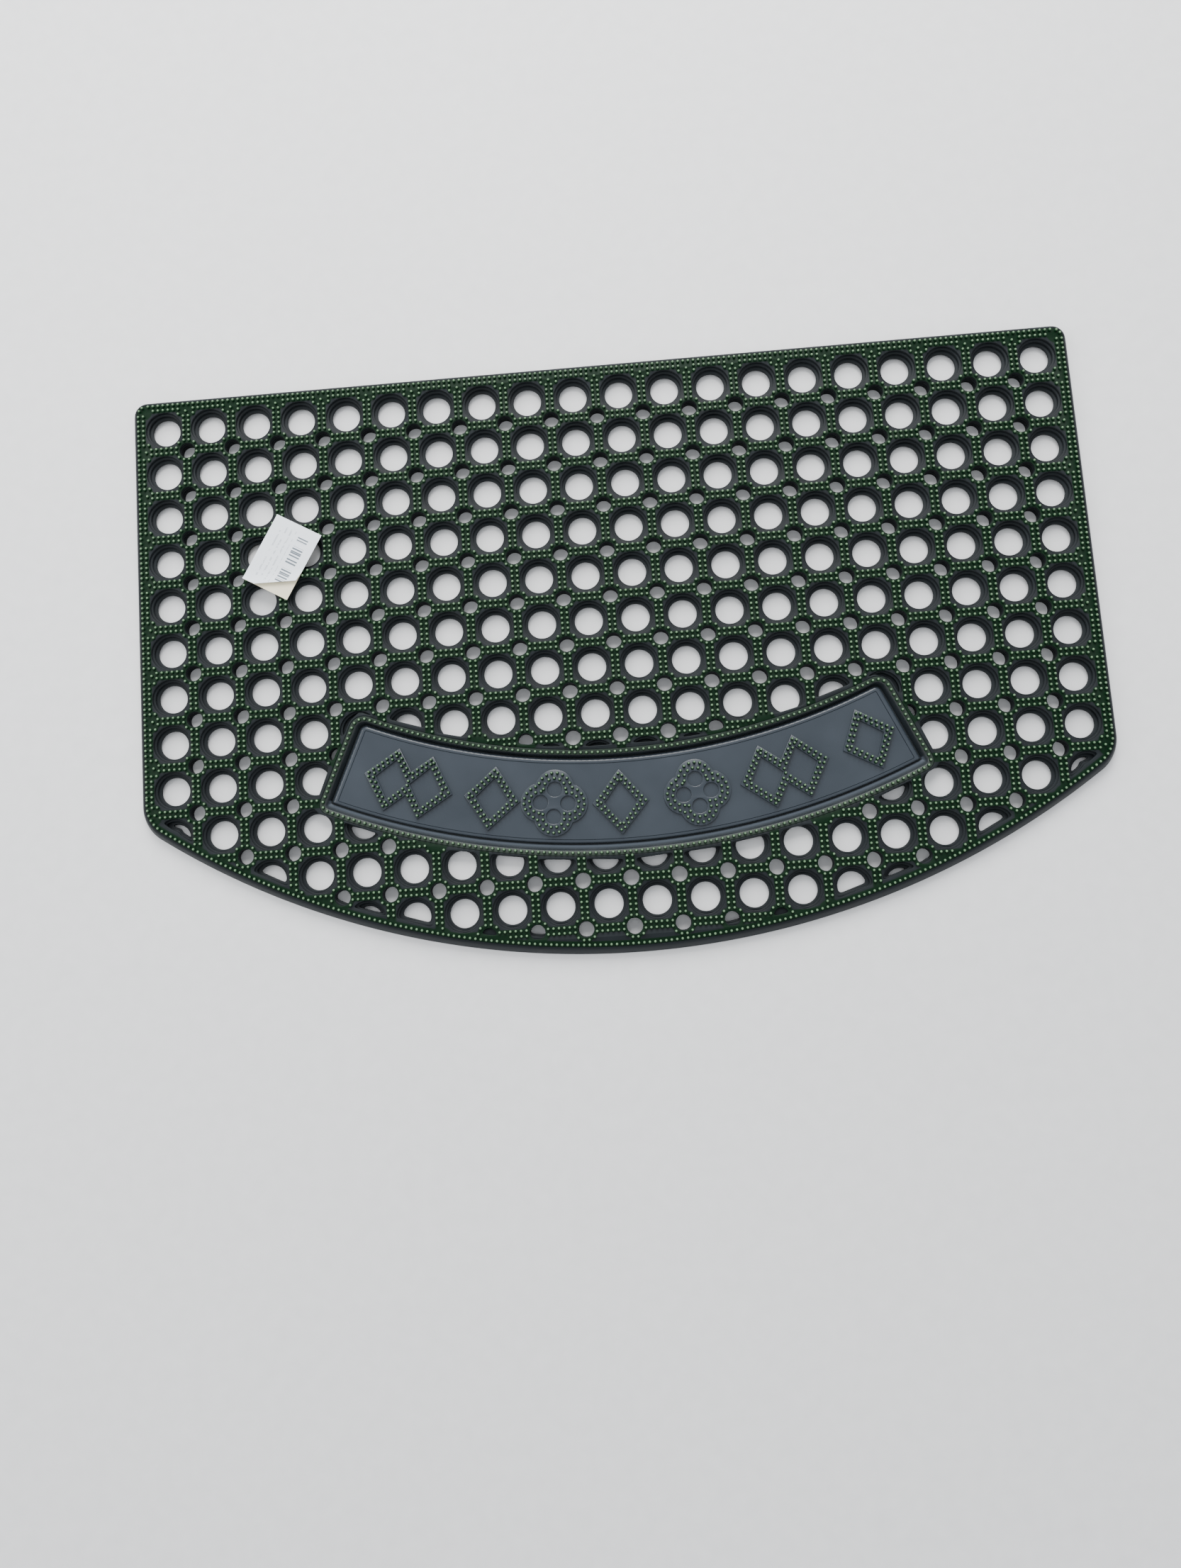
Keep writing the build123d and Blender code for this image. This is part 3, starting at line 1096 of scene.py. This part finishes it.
# %% Plain finish
def plain_finish(name, colour, roughness):
    """One even colour with a little unevenness in its gloss."""
    finish = Finish(name)
    cloud = finish.noise(finish.place(), 80.0, 2.0)
    tinted = tuple(part * 0.9 for part in colour[:3]) + (1,)
    mixed = finish.mix(cloud, tinted, colour)
    return finish.close({"Base Color": mixed, "Roughness": roughness + 0.1 * cloud})


cream = plain_finish("cream_backing", (0.95, 0.87, 0.64, 1), 0.6)

# %% [markdown]
# ## The label's two sheets
# One corner of the label has come away and curls up, and shows the backing under it. A
# fine grid is cut along the lifted edge, raised there in a soft curve and given the
# thickness of paper. The backing is the same sheet, uncut and flat.

# %% The label's two sheets
label_wide = 40.0
label_long = 58.0
grid_wide = 20
grid_long = 29
corner_cut = 16.5
cut_lean = math.radians(30.0)
curl_reach = 11.0
curl_height = 2.6
backing_thick = 0.15
paper_thick = 0.2


def sheet(name, bottom, thick, cut, node, material):
    """A thin sheet of the label; cut gives the distance along its side of the lifted edge."""
    bm = bmesh.new()
    bmesh.ops.create_grid(bm, x_segments=grid_wide, y_segments=grid_long, size=0.5)
    bmesh.ops.scale(bm, vec=(label_wide, label_long, 1), verts=bm.verts)
    if cut:
        origin = (label_wide / 2, cut - label_long / 2, 0)
        normal = (-math.sin(cut_lean), math.cos(cut_lean), 0)
        geometry = bm.verts[:] + bm.edges[:] + bm.faces[:]
        bmesh.ops.bisect_plane(bm, geom=geometry, plane_co=origin, plane_no=normal, clear_inner=True)
        for vert in bm.verts:
            away = (vert.co.x - origin[0]) * normal[0] + (vert.co.y - origin[1]) * normal[1]
            lift = max(0.0, 1 - away / curl_reach)
            vert.co.z += curl_height * lift * lift
    bmesh.ops.solidify(bm, geom=bm.faces[:], thickness=thick)
    low = min(vert.co.z for vert in bm.verts)
    place = Matrix.Translation((label_x, label_y, bottom - low))
    place = place @ Matrix.Rotation(label_turn, 4, "Z")
    bmesh.ops.transform(bm, matrix=place, verts=bm.verts)
    finish_piece(name, bm, [node], material)


backing_top = pin_top + backing_thick
sheet("label_backing_sheet", pin_top, backing_thick, 0, "label_backing", cream)
sheet("label_paper_curled", backing_top, paper_thick, corner_cut, "label_paper", label_paper)

# %% [markdown]
# ## Sections that stay as they are
# The feet and the banner's tray are hidden or simple, and the frame already has their true
# shape, so they only get the plain rubber finish.

# %% Finish for the carried-over sections
for name in ("border_foot_wall", "drain_foot_sleeves", "banner_foot_studs", "banner_tray_floor"):
    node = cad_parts[name]
    node.data.materials.clear()
    node.data.materials.append(plain_rubber)
    print("finished", name)

# %% [markdown]
# ## The floor
# A plain pale floor lies a hair below the feet, so that the two surfaces never flicker.

# %% Floor
floor_reach = 3.0
floor_drop = -0.1 * MM
floor_bm = bmesh.new()
bmesh.ops.create_grid(floor_bm, x_segments=1, y_segments=1, size=floor_reach)
bmesh.ops.translate(floor_bm, vec=(0, 0, floor_drop), verts=floor_bm.verts)
floor_mesh = bpy.data.meshes.new("studio_floor")
floor_bm.to_mesh(floor_mesh)
floor_bm.free()
floor = bpy.data.objects.new("studio_floor", floor_mesh)
floor_mesh.materials.append(plain_finish("pale_floor", (0.92, 0.92, 0.92, 1), 0.7))
bpy.context.scene.collection.objects.link(floor)
print("floor reaches", floor_reach, "metres each way")

# %% [markdown]
# ## Soft light
# A large soft lamp stands behind the back edge: its light grazes the lattice and leaves
# the cups' back walls dark. A weak one at the side and an even sky open up the shadows.

# %% Lamps and sky
lamp_size = 1.2


def soft_lamp(name, place, power):
    """A square area lamp aimed at the middle of the mat."""
    data = bpy.data.lights.new(name, "AREA")
    data.size = lamp_size
    data.energy = power
    lamp = bpy.data.objects.new(name, data)
    lamp.location = place
    lamp.rotation_euler = Vector(place).to_track_quat("Z", "Y").to_euler()
    bpy.context.scene.collection.objects.link(lamp)
    print(name, power, "watts")


soft_lamp("back_lamp", (0.0, 1.5, 1.4), 60.0)
soft_lamp("side_lamp", (-1.7, 0.3, 1.3), 18.0)
world = bpy.data.worlds.new("studio")
world.use_nodes = True
sky = world.node_tree.nodes["Background"]
sky.inputs["Color"].default_value = (0.93, 0.96, 1.0, 1)
sky.inputs["Strength"].default_value = 1.0
bpy.context.scene.world = world

# %% [markdown]
# ## The camera
# The camera hangs over the front of the mat and looks almost straight down. Its three
# small turns lean it back, lean it sideways and roll it.

# %% Camera
roll = math.radians(4.29)
side_lean = math.radians(-1.81)
back_lean = math.radians(-7.34)
camera_data = bpy.data.cameras.new("view_camera")
camera_data.lens = 27.08
camera_data.sensor_width = 36.0
camera = bpy.data.objects.new("view_camera", camera_data)
spin = Matrix.Rotation(roll, 3, "Z") @ Matrix.Rotation(side_lean, 3, "Y")
spin = spin @ Matrix.Rotation(back_lean, 3, "X")
camera.location = (0.00264, -0.2197, 0.9004)
camera.rotation_euler = spin.transposed().to_euler()
bpy.context.scene.collection.objects.link(camera)
bpy.context.scene.camera = camera
print("pieces made:", len(made_pieces))

# %% [markdown]
